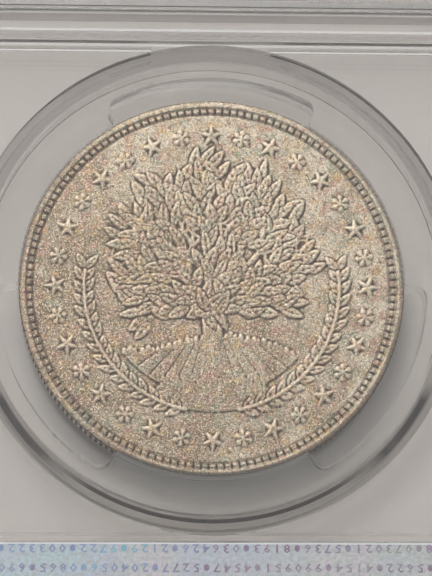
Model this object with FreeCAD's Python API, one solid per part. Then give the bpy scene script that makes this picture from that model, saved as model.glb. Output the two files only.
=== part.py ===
"""Graded coin slab: a struck silver coin, gripped by a clear three-prong gasket and sealed with its printed
label between two clear polystyrene shells that are welded along a tongue-and-groove seam.

Units are millimetres. The slab lies on its front face: +Z points out of the back window, +Y towards the
plain end, away from the label. The origin is under the middle of the slab, on the face that it rests on.
"""
import FreeCAD
import Part

import math
import os

Vector = FreeCAD.Vector
UP = Vector(0, 0, 1)

# ---------------------------------------------------------------- driving dimensions: shells
slab_width = 62.5
slab_height = 84.5
corner_radius = 4.0
edge_fillet = 0.45
window_wall = 1.3
cavity_depth = 3.8

front_lip_height = 0.8
front_lip_width = 2.4
back_ridge_height = 0.8
back_ridge_width = 2.35
back_slope_width = 1.09
back_slope_height = 0.72
stacking_clearance = 0.2

outer_wall = 1.5
frame_rib_inset = 4.2
frame_rib_wall = 0.9
divider_wall = 0.8

boss_wall = 1.7
front_boss_wall = 1.15
boss_rib_gap = 0.4
boss_web_width = 12.0
boss_web_overlap = 0.8
boss_divider_overlap = 0.1
rib_gap = 0.08

# ---------------------------------------------------------------- driving dimensions: weld seam
weld_gap = 0.04
tongue_inset = 0.75
tongue_width = 0.4
tongue_height = 0.45
bead_side = 0.15
bead_top = 0.15

# ---------------------------------------------------------------- driving dimensions: gasket
gasket_side_clearance = 0.1
gasket_face_clearance = 0.05
gasket_rim = 1.6
gasket_edge_round = 0.15
prong_count = 3
prong_span = 60.0
pocket_depth = 2.05
pocket_corner = 1.1
prong_tip_corner = 1.1
lip_overlap = 0.35
lip_slope_width = 0.75
lip_slope_height = 0.4
groove_side_clearance = 0.1
groove_face_clearance = 0.06

# ---------------------------------------------------------------- driving dimensions: coin
coin_diameter = 38.1
coin_thickness = 2.4
rim_width = 0.7
field_depth = 0.24
reed_count = 189
reed_depth = 0.12
denticle_count = 150
denticle_length = 0.5
denticle_share = 0.6
relief_height = 0.18
trunk_width = 2.4
trunk_height = 9.2
crown_radius = 8.2
crown_lift = 3.4
crown_lobes = 11
ground_width = 17.0
ground_thickness = 1.5
border_count = 16
border_radius = 15.4
star_radius = 1.15
rosette_radius = 0.85
sun_radius = 4.6
ray_count = 16
ray_reach = 12.2
ray_width = 1.5

# ---------------------------------------------------------------- driving dimensions: label
card_thickness = 0.35
film_thickness = 0.08
patch_thickness = 0.06
label_clearance = 0.15
label_face_clearance = 0.05
label_corner = 0.8
ledge_wall = 0.9
ledge_clearance = 0.1
film_margin = 0.15
patch_width = 12.0
patch_height = 9.0

# ---------------------------------------------------------------- levels, from the resting face up
front_face_z = front_lip_height
front_inner_z = front_face_z + window_wall
parting_z = front_inner_z + cavity_depth / 2
back_inner_z = front_inner_z + cavity_depth
back_face_z = back_inner_z + window_wall
top_z = back_face_z + back_ridge_height

# ---------------------------------------------------------------- plan positions
chamber_inset = frame_rib_inset + frame_rib_wall
coin_radius = coin_diameter / 2
pocket_radius = coin_radius + groove_side_clearance + pocket_depth
boss_inner_radius = pocket_radius + gasket_rim + gasket_side_clearance
boss_outer_radius = boss_inner_radius + boss_wall
coin_y = slab_height / 2 - chamber_inset - boss_outer_radius - boss_rib_gap
divider_top_y = coin_y - boss_outer_radius + boss_divider_overlap
divider_bottom_y = divider_top_y - divider_wall
pocket_end_y = chamber_inset - slab_height / 2
pocket_width = slab_width - 2 * chamber_inset
pocket_height = divider_bottom_y - pocket_end_y
pocket_middle_y = (divider_bottom_y + pocket_end_y) / 2
label_width = pocket_width - 2 * label_clearance
label_height = pocket_height - 2 * label_clearance
patch_z = back_inner_z - label_face_clearance - patch_thickness
film_z = patch_z - film_thickness
card_z = film_z - card_thickness
back_ridge_inset = front_lip_width + stacking_clearance
overlap = 0.5


# ---------------------------------------------------------------- shape helpers
def rounded_plate(width, height, radius, z, depth, middle_y=0.0):
    """A plate with rounded corners, centred on X = 0 and on middle_y, from z up through depth."""
    x, y = width / 2, height / 2
    corners = [(x - radius, y - radius, 0), (radius - x, y - radius, 90),
               (radius - x, radius - y, 180), (x - radius, radius - y, 270)]
    arcs = []
    for corner_x, corner_y, start in corners:
        points = []
        for turn in (0, 45, 90):
            angle = math.radians(start + turn)
            points.append(Vector(corner_x + radius * math.cos(angle),
                                 middle_y + corner_y + radius * math.sin(angle), z))
        arcs.append(points)
    edges = []
    for here, after in zip(arcs, arcs[1:] + arcs[:1]):
        edges.append(Part.Arc(*here).toShape())
        edges.append(Part.LineSegment(here[-1], after[0]).toShape())
    return Part.Face(Part.Wire(edges)).extrude(UP * depth)


def slab_plate(inset, z, depth):
    """The slab's own outline, drawn in by inset."""
    return rounded_plate(slab_width - 2 * inset, slab_height - 2 * inset,
                         max(corner_radius - inset, edge_fillet), z, depth)


def slab_ring(inset, wall, z, depth):
    """A wall that follows the slab's outline."""
    return slab_plate(inset, z, depth).cut(slab_plate(inset + wall, z - overlap, depth + 2 * overlap))


def disc(radius, z, depth):
    """A disc round the coin's axis."""
    return Part.makeCylinder(radius, depth, Vector(0, coin_y, z))


def ring(inner, outer, z, depth):
    """A ring round the coin's axis."""
    return disc(outer, z, depth).cut(disc(inner, z - overlap, depth + 2 * overlap))


def polar(radius, degrees, z=0.0):
    """A point round the coin's axis, with 0 degrees towards +Y and turning towards +X."""
    angle = math.radians(degrees)
    return Vector(radius * math.sin(angle), coin_y + radius * math.cos(angle), z)


def prism(points, depth):
    """A closed polygon raised along Z."""
    return Part.Face(Part.makePolygon(points + points[:1])).extrude(UP * depth)


def edges_at(shape, z):
    """The edges of a shape that lie whole in the plane at z."""
    return [edge for edge in shape.Edges
            if abs(edge.BoundBox.ZMin - z) < 1e-6 and abs(edge.BoundBox.ZMax - z) < 1e-6]


def save(name, shape):
    """Writes one sub-part, after checking that it is sound."""
    if not shape.isValid():
        raise ValueError(name + " isn't a valid shape")
    shape.exportStep(os.path.join("parts", name + ".step"))
    print(name, len(shape.Solids), "solid(s)", round(shape.Volume, 2), "mm3")


# ---------------------------------------------------------------- shells
def inner_walls(z, depth, ring_wall):
    """The frame rib, the divider and the gasket's boss, as one set of walls."""
    frame = slab_ring(frame_rib_inset, frame_rib_wall, z, depth)
    divider = Part.makeBox(pocket_width + 2 * overlap, divider_wall, depth,
                           Vector(-pocket_width / 2 - overlap, divider_bottom_y, z))
    boss = ring(boss_inner_radius, boss_inner_radius + ring_wall, z, depth)
    return frame.fuse([divider, boss])


def boss_web(z, depth):
    """The web that ties the front boss to the end rib."""
    top_y = slab_height / 2 - chamber_inset + overlap
    bottom_y = coin_y + boss_inner_radius + front_boss_wall - boss_web_overlap
    return Part.makeBox(boss_web_width, top_y - bottom_y, depth, Vector(-boss_web_width / 2, bottom_y, z))


def label_ledge():
    """The frame in the front shell that holds the label up against the back window."""
    foot = rounded_plate(pocket_width + 2 * ledge_clearance, pocket_height + 2 * ledge_clearance,
                         label_corner, front_inner_z, parting_z - front_inner_z, pocket_middle_y)
    top = rounded_plate(pocket_width - 2 * ledge_clearance, pocket_height - 2 * ledge_clearance,
                        label_corner, parting_z - overlap, card_z - parting_z + overlap, pocket_middle_y)
    inside = rounded_plate(pocket_width - 2 * ledge_wall, pocket_height - 2 * ledge_wall,
                           label_corner, front_inner_z - overlap, cavity_depth + 2 * overlap, pocket_middle_y)
    return foot.fuse(top).cut(inside)


def front_shell():
    """The shell under the coin's front, with the lip that the slab rests on and the weld tongue."""
    shell = slab_plate(0, 0, front_inner_z)
    shell = shell.makeFillet(edge_fillet, edges_at(shell, 0))
    shell = shell.cut(slab_plate(front_lip_width, -overlap, front_lip_height + overlap))
    depth = parting_z - front_inner_z
    walls = slab_ring(0, outer_wall, front_inner_z, depth)
    tongue = slab_ring(tongue_inset - tongue_width / 2, tongue_width, parting_z, tongue_height)
    ribs = inner_walls(front_inner_z, depth, front_boss_wall)
    web = boss_web(front_inner_z, depth)
    return shell.fuse([walls, ribs, web, label_ledge(), tongue]).removeSplitter()


def back_shell():
    """The shell over the coin's reverse, with the ridge that nests in the next slab's front lip."""
    plate = slab_plate(0, back_inner_z, window_wall)
    plate = plate.makeFillet(edge_fillet, edges_at(plate, back_face_z))
    ridge = slab_plate(back_ridge_inset, back_face_z, back_ridge_height)
    ridge = ridge.makeChamfer(back_slope_height, back_slope_width, edges_at(ridge, top_z))
    ridge = ridge.cut(slab_plate(back_ridge_inset + back_ridge_width, back_face_z - overlap,
                                 back_ridge_height + 2 * overlap))
    walls = slab_ring(0, outer_wall, parting_z + weld_gap, back_inner_z - parting_z - weld_gap)
    ribs = inner_walls(parting_z + rib_gap, back_inner_z - parting_z - rib_gap, boss_wall)
    return plate.fuse([ridge, walls.cut(seam_groove()), ribs]).removeSplitter()


def seam_groove():
    """The groove in the back shell's wall."""
    return slab_ring(tongue_inset - tongue_width / 2 - bead_side, tongue_width + 2 * bead_side,
                     parting_z, tongue_height + bead_top)


def weld_seam():
    """The bead of plastic that the welder melts between tongue and groove."""
    tongue = slab_ring(tongue_inset - tongue_width / 2, tongue_width, parting_z - overlap,
                       tongue_height + overlap)
    return seam_groove().cut(tongue)


# ---------------------------------------------------------------- gasket
def pocket(middle, z, depth):
    """The open space between two prongs, which shows the coin's edge."""
    outer = pocket_radius
    inner = coin_radius - lip_overlap - overlap
    half = (360.0 / prong_count - prong_span) / 2
    start, end = middle - half, middle + half
    edges = [Part.Arc(polar(outer, start, z), polar(outer, middle, z), polar(outer, end, z)).toShape(),
             Part.LineSegment(polar(outer, end, z), polar(inner, end, z)).toShape(),
             Part.Arc(polar(inner, end, z), polar(inner, middle, z), polar(inner, start, z)).toShape(),
             Part.LineSegment(polar(inner, start, z), polar(outer, start, z)).toShape()]
    shape = Part.Face(Part.Wire(edges)).extrude(UP * depth)
    corners = [edge for edge in shape.Edges
               if edge.BoundBox.ZLength > depth / 2 and distance_from_axis(edge) > coin_radius]
    return shape.makeFillet(pocket_corner, corners)


def distance_from_axis(edge):
    """How far an upright edge stands from the coin's axis."""
    point = edge.Vertexes[0].Point
    return math.hypot(point.x, point.y - coin_y)


def coin_gasket():
    """The clear ring that fills the boss and grips the coin's rim with three grooved prongs."""
    bottom = front_inner_z + gasket_face_clearance
    depth = cavity_depth - 2 * gasket_face_clearance
    lip_radius = coin_radius - lip_overlap
    blank = ring(lip_radius, boss_inner_radius - gasket_side_clearance, bottom, depth)
    for number in range(prong_count):
        blank = blank.cut(pocket(number * 360.0 / prong_count, bottom - overlap, depth + 2 * overlap))
    tips = [edge for edge in blank.Edges
            if edge.BoundBox.ZLength > depth / 2 and abs(distance_from_axis(edge) - lip_radius) < 1e-6]
    blank = blank.makeFillet(prong_tip_corner, tips)
    blank = blank.makeFillet(gasket_edge_round, edges_at(blank, bottom) + edges_at(blank, bottom + depth))
    groove_depth = coin_thickness + 2 * groove_face_clearance
    groove = disc(coin_radius + groove_side_clearance, parting_z - groove_depth / 2, groove_depth)
    return blank.cut([groove, lip_slope(bottom, -1), lip_slope(bottom + depth, 1)])


def lip_slope(face_z, outward):
    """What the slope over the coin's rim takes off the lips. outward is +1 for the upper lips."""
    lip_radius = coin_radius - lip_overlap
    steepness = lip_slope_width / lip_slope_height
    return Part.makeCone(lip_radius - overlap * steepness, lip_radius + lip_slope_width + overlap * steepness,
                         lip_slope_height + 2 * overlap,
                         Vector(0, coin_y, face_z - outward * (lip_slope_height + overlap)), UP * outward)


# ---------------------------------------------------------------- coin
def reeded_blank():
    """A disc whose edge carries fine V-shaped reeds."""
    points = []
    for number in range(reed_count):
        step = 360.0 / reed_count
        points.append(polar(coin_radius, number * step, parting_z - coin_thickness / 2))
        points.append(polar(coin_radius - reed_depth, (number + 0.5) * step, parting_z - coin_thickness / 2))
    return prism(points, coin_thickness)


def toothed_field(z):
    """The sunk field, whose border leaves the rim's inward teeth standing."""
    step = 360.0 / denticle_count
    outer = coin_radius - rim_width
    inner = outer - denticle_length
    points = []
    for number in range(denticle_count):
        for radius, share in ((inner, 0), (inner, denticle_share), (outer, denticle_share + 0.06), (outer, 0.94)):
            points.append(polar(radius, (number + share) * step, z))
    return prism(points, field_depth)


def star(middle_x, middle_y, radius, z, depth):
    """A five-pointed star."""
    points = []
    for number in range(10):
        reach = radius if number % 2 == 0 else radius * 0.45
        angle = math.radians(36 * number)
        points.append(Vector(middle_x + reach * math.sin(angle), middle_y + reach * math.cos(angle), z))
    return prism(points, depth)


def border(z, depth):
    """Stars and round rosettes, by turns, set evenly round the field."""
    pieces = []
    for number in range(border_count):
        at_star = polar(border_radius, number * 360.0 / border_count)
        at_rosette = polar(border_radius, (number + 0.5) * 360.0 / border_count, z)
        pieces.append(star(at_star.x, at_star.y, star_radius, z, depth))
        pieces.append(Part.makeCylinder(rosette_radius, depth, at_rosette))
    return pieces


def tree(z, depth):
    """A spreading tree on a mound, plain enough to be cut as one block."""
    foot_y = coin_y - trunk_height
    trunk = prism([Vector(-trunk_width, foot_y, z), Vector(trunk_width, foot_y, z),
                   Vector(trunk_width / 2, coin_y, z), Vector(-trunk_width / 2, coin_y, z)], depth)
    ground = prism([Vector(-ground_width / 2, foot_y - ground_thickness / 2, z),
                    Vector(ground_width / 2, foot_y - ground_thickness / 2, z),
                    Vector(ground_width / 3, foot_y + ground_thickness / 2, z),
                    Vector(-ground_width / 3, foot_y + ground_thickness / 2, z)], depth)
    middle_y = coin_y + crown_lift
    crown = Part.makeCylinder(crown_radius, depth, Vector(0, middle_y, z))
    lobe_radius = crown_radius * math.sin(math.pi / crown_lobes) * 1.15
    lobes = []
    for number in range(crown_lobes):
        angle = 2 * math.pi * number / crown_lobes
        lobes.append(Part.makeCylinder(lobe_radius, depth,
                                       Vector(crown_radius * math.sin(angle),
                                              middle_y + crown_radius * math.cos(angle), z)))
    return crown.fuse(lobes + [trunk, ground])


def sunburst(z, depth):
    """A plain sun with straight rays."""
    rays = []
    for number in range(ray_count):
        middle = 360.0 * number / ray_count
        spread = math.degrees(ray_width / sun_radius) / 2
        rays.append(prism([polar(sun_radius, middle - spread, z), polar(ray_reach, middle, z),
                           polar(sun_radius, middle + spread, z), polar(sun_radius / 2, middle, z)], depth))
    return disc(sun_radius, z, depth).fuse(rays)


def coin():
    """The coin: rim, teeth and reeds, with a tree on its reverse and a sun on its front."""
    top = parting_z + coin_thickness / 2
    bottom = parting_z - coin_thickness / 2
    blank = reeded_blank().cut([toothed_field(top - field_depth), toothed_field(bottom)])
    root = field_depth - relief_height
    reverse = [tree(top - field_depth - root, relief_height + root)]
    reverse += border(top - field_depth - root, relief_height + root)
    front = [sunburst(bottom + root, relief_height + root)]
    front += border(bottom + root, relief_height + root)
    return blank.fuse(reverse + front).removeSplitter()


# ---------------------------------------------------------------- label
def label_card():
    """The printed card, held between the front shell's ledge and the back window."""
    return rounded_plate(label_width, label_height, label_corner, card_z, card_thickness, pocket_middle_y)


def security_film():
    """The thin iridescent film that covers the card's back."""
    return rounded_plate(label_width - 2 * film_margin, label_height - 2 * film_margin, label_corner,
                         film_z, film_thickness, pocket_middle_y)


def hologram_patch():
    """The small foil patch on the film."""
    return rounded_plate(patch_width, patch_height, label_corner,
                         patch_z, patch_thickness, pocket_middle_y)


os.makedirs("parts", exist_ok=True)
save("front_shell", front_shell())
save("back_shell", back_shell())
save("weld_seam", weld_seam())
save("coin_gasket", coin_gasket())
save("coin", coin())
save("label_card", label_card())
save("security_film", security_film())
save("hologram_patch", hologram_patch())
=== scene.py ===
"""Graded coin holder: two clear welded shells round a soft gasket, a struck silver coin and a printed label.

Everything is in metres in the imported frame: X across the holder, Y along it towards the coin end, Z up
towards the back window. Sizes whose name or description says so are in millimetres.
"""

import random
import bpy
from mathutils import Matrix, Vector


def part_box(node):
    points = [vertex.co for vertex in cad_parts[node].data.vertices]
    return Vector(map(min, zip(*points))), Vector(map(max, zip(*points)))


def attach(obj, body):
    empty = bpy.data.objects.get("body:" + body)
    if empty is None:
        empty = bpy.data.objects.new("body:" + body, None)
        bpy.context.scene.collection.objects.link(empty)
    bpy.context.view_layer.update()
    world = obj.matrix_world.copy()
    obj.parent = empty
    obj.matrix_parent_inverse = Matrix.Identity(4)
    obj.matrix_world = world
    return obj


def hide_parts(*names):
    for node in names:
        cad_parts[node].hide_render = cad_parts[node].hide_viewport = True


bl_info = {
    "name": "Coin holder dressing",
    "version": (1, 0, 0),
    "blender": (4, 5, 0),
    "location": "3D View > Sidebar > Holder",
    "description": "Finishes the clear shells and models the coin, the label prints and the studio",
    "category": "Object",
}

from math import atan2, cos, hypot, pi, radians, sin, sqrt

import bmesh
import bpy
import numpy as np
from bpy.props import FloatProperty, FloatVectorProperty, IntProperty
from mathutils import Matrix, Vector

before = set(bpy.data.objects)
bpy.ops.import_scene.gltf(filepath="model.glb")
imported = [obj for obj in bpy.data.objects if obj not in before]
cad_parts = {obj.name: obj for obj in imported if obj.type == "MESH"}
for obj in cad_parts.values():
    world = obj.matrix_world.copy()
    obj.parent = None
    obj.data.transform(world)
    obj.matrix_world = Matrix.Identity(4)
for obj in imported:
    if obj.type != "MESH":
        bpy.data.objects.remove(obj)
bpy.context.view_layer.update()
MM = 0.001

COIN_LOW, COIN_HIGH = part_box("coin")
COIN_MIDDLE = (COIN_LOW + COIN_HIGH) / 2
COIN_RADIUS = (COIN_HIGH.y - COIN_LOW.y) / 2 / MM
COIN_THICKNESS = (COIN_HIGH.z - COIN_LOW.z) / MM
FILM_LOW, FILM_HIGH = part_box("security_film")
CARD_LOW, CARD_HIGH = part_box("label_card")
PATCH_LOW, PATCH_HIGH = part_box("hologram_patch")


# ---------------- sizes and colours


def number(title, hint, value, **limits):
    """A setting that holds one number."""
    return FloatProperty(name=title, description=hint, default=value, **limits)


def whole(title, hint, value):
    """A setting that counts something."""
    return IntProperty(name=title, description=hint, default=value, min=3)


def tint(title, hint, *colour):
    """A setting that holds a colour."""
    return FloatVectorProperty(name=title, description=hint, default=colour, subtype="COLOR", min=0, max=1)


class HolderSettings(bpy.types.PropertyGroup):
    """Clear plastic of the two shells and the weld between them"""

    plastic_tint: tint("Plastic tint", "Colour that light keeps through the shells", 0.965, 0.962, 0.955)
    plastic_ior: number("Plastic index", "Refractive index of the clear shells", 1.53, min=1.3, max=1.7)
    plastic_roughness: number("Plastic roughness", "Roughness of the moulded surface", 0.02, min=0, max=1)
    # Painted shade: this colour darkens the band where the two coin rings meet.
    ring_tint: tint("Ring tint", "Colour kept where the two coin rings meet", 0.37, 0.36, 0.35)
    ring_inside: number("Ring inside", "Inner radius of the back coin ring, in millimetres", 22.85)
    ring_outside: number("Ring outside", "Outer radius of the back coin ring, in millimetres", 24.65)
    rib_face: number("Rib face", "Distance from the middle to the end rib's face, in millimetres", 37.15)
    # Painted shade: this colour darkens the ridge's outer slope, which is as clear and smooth as the rest.
    slope_tint: tint("Slope tint", "Colour kept by the ridge's ground outer slope", 0.55, 0.54, 0.53)
    # Painted dark lines: shade painted along the end rib's face and in arcs beside the coin ring.
    glint_tint: tint("Dark glint", "Colour of dark lines beside upright clear faces", 0.006, 0.005, 0.0045)
    weld_colour: tint("Weld colour", "Colour of the remelted seam", 0.62, 0.61, 0.60)


class GasketSettings(bpy.types.PropertyGroup):
    """Soft clear gasket that carries the coin"""

    gasket_tint: tint("Gasket tint", "Colour that light keeps through the gasket", 0.99, 0.982, 0.968)
    # Painted shade on the gasket's upright walls and on its outer edge towards the label.
    wall_tint: tint("Wall tint", "Colour kept by the gasket's upright walls", 0.80, 0.79, 0.78)
    gasket_ior: number("Gasket index", "Refractive index of the gasket", 1.3, min=1.3, max=1.7)
    gasket_roughness: number("Gasket roughness", "Roughness of the gasket's skin", 0.08, min=0, max=1)


class CoinSettings(bpy.types.PropertyGroup):
    """Struck relief and toning of the coin"""

    field_depth: number("Field depth", "Depth of the field under the rim, in millimetres", 0.24)
    relief_height: number("Relief height", "Highest relief above the field, in millimetres", 0.17)
    rim_width: number("Rim width", "Width of the flat rim, in millimetres", 0.83)
    tooth_length: number("Tooth length", "Length of the small teeth inside the rim, in millimetres", 0.66)
    tooth_count: whole("Teeth", "Number of small teeth inside the rim", 150)
    reed_count: whole("Reeds", "Number of reeds round the edge", 189)
    reed_depth: number("Reed depth", "Depth of the edge reeds, in millimetres", 0.11)
    border_radius: number("Border radius", "Radius of the ring of stars and rosettes, in millimetres", 15.4)
    border_count: whole("Border stars", "Number of stars, with a rosette after each", 16)
    silver_light: tint("Light silver", "Colour of the worn high places", 0.88, 0.75, 0.57)
    silver_middle: tint("Toned silver", "Colour of the toned fields", 0.275, 0.2, 0.122)
    silver_pale: tint("Pale silver", "Colour of the pale patches", 0.6, 0.53, 0.41)
    silver_rose: tint("Rose toning", "Colour of the pinkish patches", 0.44, 0.245, 0.185)
    silver_green: tint("Green toning", "Colour of the greenish grey patches", 0.27, 0.285, 0.2)
    silver_gold: tint("Gold toning", "Colour of the golden patches", 0.52, 0.33, 0.125)
    silver_shade: tint("Shaded silver", "Colour between the fine grains", 0.036, 0.025, 0.017)
    # Also the colour of the rim's painted shade.
    silver_dark: tint("Dark toning", "Colour of the grime in the recesses", 0.06, 0.033, 0.017)


class LabelSettings(bpy.types.PropertyGroup):
    """Label card, security film, their prints and the foil patch"""

    row_pitch: number("Row pitch", "Distance from row to row of the film print, in millimetres", 1.86)
    figure_height: number("Figure height", "Height of the film print's figures, in millimetres", 0.86)
    figure_pitch: number("Figure pitch", "Distance from figure to figure, in millimetres", 0.97)
    ink_thickness: number("Ink thickness", "Thickness of both prints, in millimetres", 0.012)
    film_colour: tint("Film colour", "Ground colour of the security film", 0.43, 0.465, 0.48)
    card_colour: tint("Card colour", "Colour of the uncoated label card", 0.72, 0.74, 0.76)
    ink_colour: tint("Ink colour", "Colour of the card's printed figures", 0.02, 0.035, 0.08)


class StudioSettings(bpy.types.PropertyGroup):
    """Floor, lamp and camera"""

    floor_colour: tint("Floor colour", "Colour of the plain floor", 0.53, 0.497, 0.476)
    lamp_strength: number("Lamp strength", "Radiance of the large soft lamp", 5.2, min=0)
    sky_strength: number("Sky strength", "Strength of the room light", 1.12, min=0)
    camera_height: number("Camera elevation", "Angle of the camera above the horizon", radians(77),
                          subtype="ANGLE")
    camera_side: number("Camera side", "Angle of the camera towards the left", radians(2.8),
                        subtype="ANGLE")
    camera_roll: number("Camera roll", "Turn of the camera about its own axis", radians(-0.25),
                        subtype="ANGLE")
    camera_distance: number("Camera distance", "Distance from the camera to the coin", 0.26, unit="LENGTH")
    frame_width: number("Width in view", "Width seen at the coin", 0.042604, unit="LENGTH")


# ---------------- small tools


def deselect():
    """Leave nothing selected, so that an operator acts only on the new piece."""
    bpy.ops.object.select_all(action="DESELECT")


def settle(piece, name, material, body, stands_for=()):
    """Name a finished piece, give it its material and let it ride with its CAD body."""
    piece.name = name
    piece.data.name = name
    piece.data.materials.clear()
    piece.data.materials.append(material)
    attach(piece, body)
    if stands_for:
        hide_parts(*stands_for)


def finish_node(name, material):
    """Give a CAD node its material."""
    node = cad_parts[name]
    node.data.materials.clear()
    node.data.materials.append(material)


def new_material(name):
    """An empty node material and its tree."""
    material = bpy.data.materials.new(name)
    material.use_nodes = True
    material.node_tree.nodes.clear()
    return material, material.node_tree


def add(tree, kind, inputs=None, **settings):
    """Add a node; an input value that is a socket is linked, any other is set."""
    node = tree.nodes.new("ShaderNode" + kind)
    for key, value in settings.items():
        setattr(node, key, value)
    for key, value in (inputs or {}).items():
        socket = node.inputs[key]
        if isinstance(value, bpy.types.NodeSocket):
            tree.links.new(value, socket)
        elif hasattr(value, "__len__") and len(value) == 3 and socket.type == "RGBA":
            socket.default_value = (*value, 1)
        else:
            socket.default_value = value
    return node


def calc(tree, operation, first, second=0.0):
    """One step of arithmetic."""
    return add(tree, "Math", {0: first, 1: second}, operation=operation).outputs[0]


def band(tree, value, low, high, unit=1.0):
    """1 where the value lies between low and high, else 0."""
    above = calc(tree, "GREATER_THAN", value, low * unit)
    below = calc(tree, "LESS_THAN", value, high * unit)
    return calc(tree, "MULTIPLY", above, below)


def product(tree, first, *others):
    """The product of two or more values."""
    for other in others:
        first = calc(tree, "MULTIPLY", first, other)
    return first


def mix(tree, factor, first, second):
    """Blend two colours."""
    return add(tree, "Mix", {0: factor, 6: first, 7: second}, data_type="RGBA").outputs[2]


def dimmed(colour, share):
    """A colour with each part brought down to a share of itself."""
    return [share * part for part in colour]


def spread(tree, value, low=0.3, high=0.7, out_low=0.0, out_high=1.0):
    """Carry a range of values, by default a noise's middle, over to another one that is held at its ends."""
    return add(tree, "MapRange", {0: value, 1: low, 2: high, 3: out_low, 4: out_high}).outputs[0]


def noise(tree, where, scale, detail=3.0, roughness=0.55, distortion=0.0):
    """Plain noise at a scale given in cells to the metre."""
    node = add(tree, "TexNoise", {
        "Vector": where, "Scale": scale, "Detail": detail, "Roughness": roughness, "Distortion": distortion})
    return node.outputs[0]


def ramp(tree, value, *stops):
    """A colour ramp of (place, colour) stops."""
    node = add(tree, "ValToRGB", {0: value})
    elements = node.color_ramp.elements
    while len(elements) < len(stops):
        elements.new(0.5)
    for element, (place, colour) in zip(elements, stops):
        element.position = place
        element.color = (*colour, 1)
    return node.outputs[0]


def place_of(tree):
    """Object coordinates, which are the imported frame's."""
    return add(tree, "TexCoord").outputs["Object"]


def parts_of(tree, vector):
    """The three parts of a vector: across the holder, along it and up."""
    return tuple(add(tree, "SeparateXYZ", {0: vector}).outputs)


def stretched(tree, where, *scale):
    """Coordinates scaled differently along each direction."""
    return add(tree, "Mapping", {"Vector": where, "Scale": scale}).outputs[0]


def radius_of(tree, where):
    """Distance from the coin's axis."""
    axis = (COIN_MIDDLE.x, COIN_MIDDLE.y, 0)
    moved = add(tree, "VectorMath", {0: where, 1: axis}, operation="SUBTRACT").outputs[0]
    flat = add(tree, "VectorMath", {0: moved, 1: (1, 1, 0)}, operation="MULTIPLY").outputs[0]
    return add(tree, "VectorMath", {0: flat}, operation="LENGTH").outputs["Value"]


def lean_of(tree):
    """Upward part of the normal: 1 on a face that looks up, 0 on an upright one."""
    return parts_of(tree, add(tree, "NewGeometry").outputs["Normal"])[2]


def bump(tree, height, strength, distance):
    """A normal made uneven by a height."""
    inputs = {"Strength": strength, "Distance": distance, "Height": height}
    return add(tree, "Bump", inputs).outputs[0]


def close_solid(tree, colour, roughness, **more):
    """A solid surface, sent to the output."""
    body = add(tree, "BsdfPrincipled", {"Base Color": colour, "Roughness": roughness, **more})
    add(tree, "OutputMaterial", {"Surface": body.outputs[0]})


def close_clear(tree, colour, roughness, clearness, shadow, **more):
    """A clear surface that lets lamps shine through, sent to the output."""
    body = add(tree, "BsdfPrincipled", {
        "Base Color": colour, "Roughness": roughness, "Transmission Weight": clearness, **more}).outputs[0]
    through = add(tree, "BsdfTransparent", {"Color": shadow}).outputs[0]
    in_shadow = add(tree, "LightPath").outputs["Is Shadow Ray"]
    both = add(tree, "MixShader", {0: in_shadow, 1: body, 2: through})
    add(tree, "OutputMaterial", {"Surface": both.outputs[0]})


# ---------------- clear shells, weld and gasket

# Where painted shade and painted dark lines go into the clear plastic, in millimetres: heights over the rest
# plane, radii beyond the ring's inner wall, and distances from the coin's middle towards the label. A lean is
# the normal's upward part.
RINGS_MEET = (4.05, 4.20)
SLOPE_HEIGHT, SLOPE_LEAN = (7.3, 8.0), (0.78, 0.90)
RIB_LINE_HEIGHT, RIB_LINE_HALF, RIB_LINE_MIDDLE = (5.05, 5.92), 0.03, (5.0, 8.0)
THREAD = (0.20, 0.60)
FLANK_START, FLANK_END = (0.15, 0.40), (1.25, 0.95)
NEAR_LABEL = (14.5, 20.0)
FLANK_FAR, FLANK_NEAR = (20.0, 16.5), (9.2, 11.2)
GASKET_EDGE = (22.2, 22.6)


def toward_label(tree, along, start, end):
    """0 to 1 between two distances from the coin's middle towards the label."""
    return spread(tree, along, COIN_MIDDLE.y - start * MM, COIN_MIDDLE.y - end * MM)


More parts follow.
